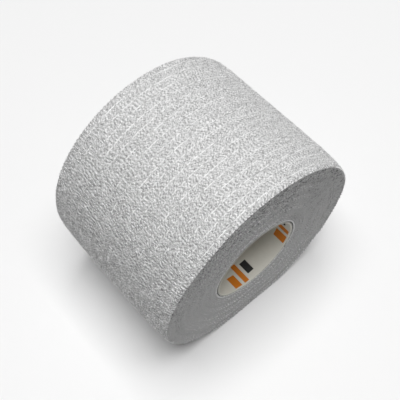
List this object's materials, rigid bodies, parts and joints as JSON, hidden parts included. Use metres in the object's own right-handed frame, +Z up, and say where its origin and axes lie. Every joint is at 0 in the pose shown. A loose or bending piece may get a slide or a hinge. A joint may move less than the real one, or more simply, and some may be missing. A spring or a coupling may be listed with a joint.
{
  "type": "cohesive bandage roll",
  "caption": "Roll of crinkled cohesive elastic bandage, wound on a thin open card core and lying on its side on a small flat spot.",
  "frame": {"origin": "under the middle of the roll's box, on the surface that its flat spot rests on", "axes": "+X along the roll's axis towards the near end face, +Y across the roll, +Z up"},
  "size_m": [0.05, 0.07, 0.0677],
  "materials": {
    "crinkled_cloth": "matt crinkled nonwoven cloth with elastic threads",
    "card": "smooth light grey card"
  },
  "bodies": {
    "root": {"bandage": "crinkled_cloth", "core": "card"}
  },
  "joints": []
}
